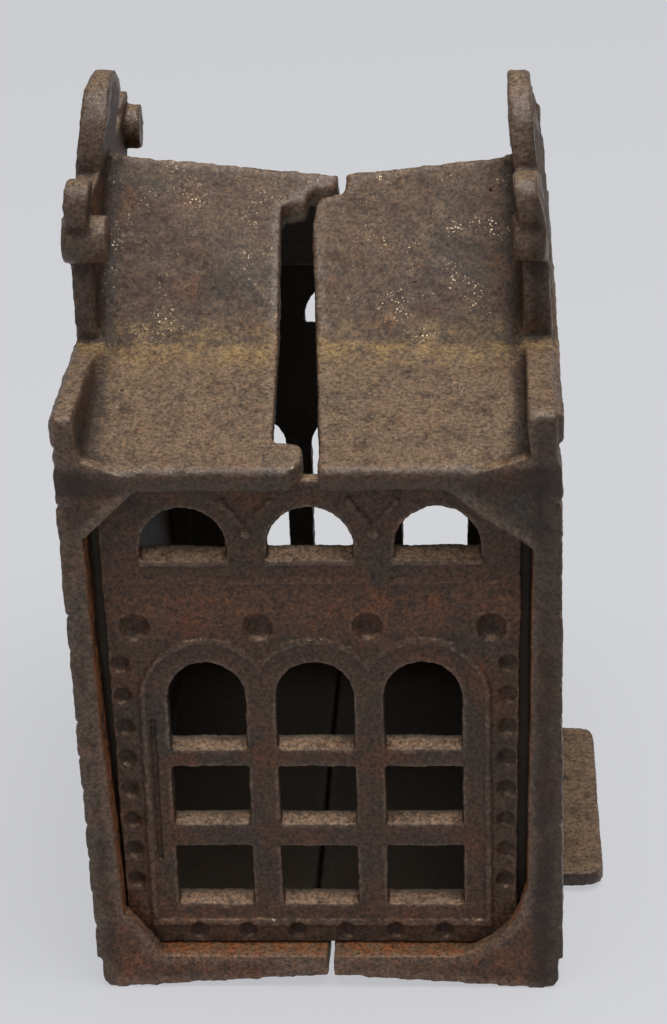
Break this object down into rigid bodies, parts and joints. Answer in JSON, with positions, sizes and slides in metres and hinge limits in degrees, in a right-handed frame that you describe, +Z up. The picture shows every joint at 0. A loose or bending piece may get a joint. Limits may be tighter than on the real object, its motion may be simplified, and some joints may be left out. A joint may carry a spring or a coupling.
{
  "type": "still bank",
  "caption": "Small cast iron money box shaped like a gabled building, with pierced arched side panels, a coin slot across the roof and an entrance step.",
  "frame": {"origin": "on the surface the bank stands on, under the middle of the box that holds the whole bank, from the screw's head to the bottom step", "axes": "+X from the back facade to the front facade with its step, +Y across the facades away from the panel beside the coin slot, +Z up"},
  "size_m": [0.0692, 0.0894, 0.1086],
  "materials": {
    "casting_iron": "bare sand-cast iron with a dry brown patina and dust",
    "panel_iron": "bare sand-cast iron, dark brown with rust",
    "screw_steel": "old darkened steel"
  },
  "bodies": {
    "back_half": {"back_half": "casting_iron"},
    "front_half": {"front_half": "casting_iron"},
    "near_side_panel": {"near_side_panel": "panel_iron"},
    "far_side_panel": {"far_side_panel": "panel_iron"},
    "assembly_screw": {"assembly_screw": "screw_steel"}
  },
  "joints": [
    {"name": "front_pull", "type": "slide", "parent": "back_half", "child": "front_half", "axis": [1, 0, 0], "range_m": [0, 0.04]},
    {"name": "near_panel_pull", "type": "slide", "parent": "back_half", "child": "near_side_panel", "axis": [1, 0, 0], "range_m": [0, 0.02]},
    {"name": "far_panel_pull", "type": "slide", "parent": "back_half", "child": "far_side_panel", "axis": [1, 0, 0], "range_m": [0, 0.02]},
    {"name": "screw_pull", "type": "slide", "parent": "back_half", "child": "assembly_screw", "axis": [-1, 0, 0], "range_m": [0, 0.058]}
  ],
  "couplings": [
    {"joint": "near_panel_pull", "follows": "front_pull", "ratio": 0.5},
    {"joint": "far_panel_pull", "follows": "front_pull", "ratio": 0.5}
  ]
}
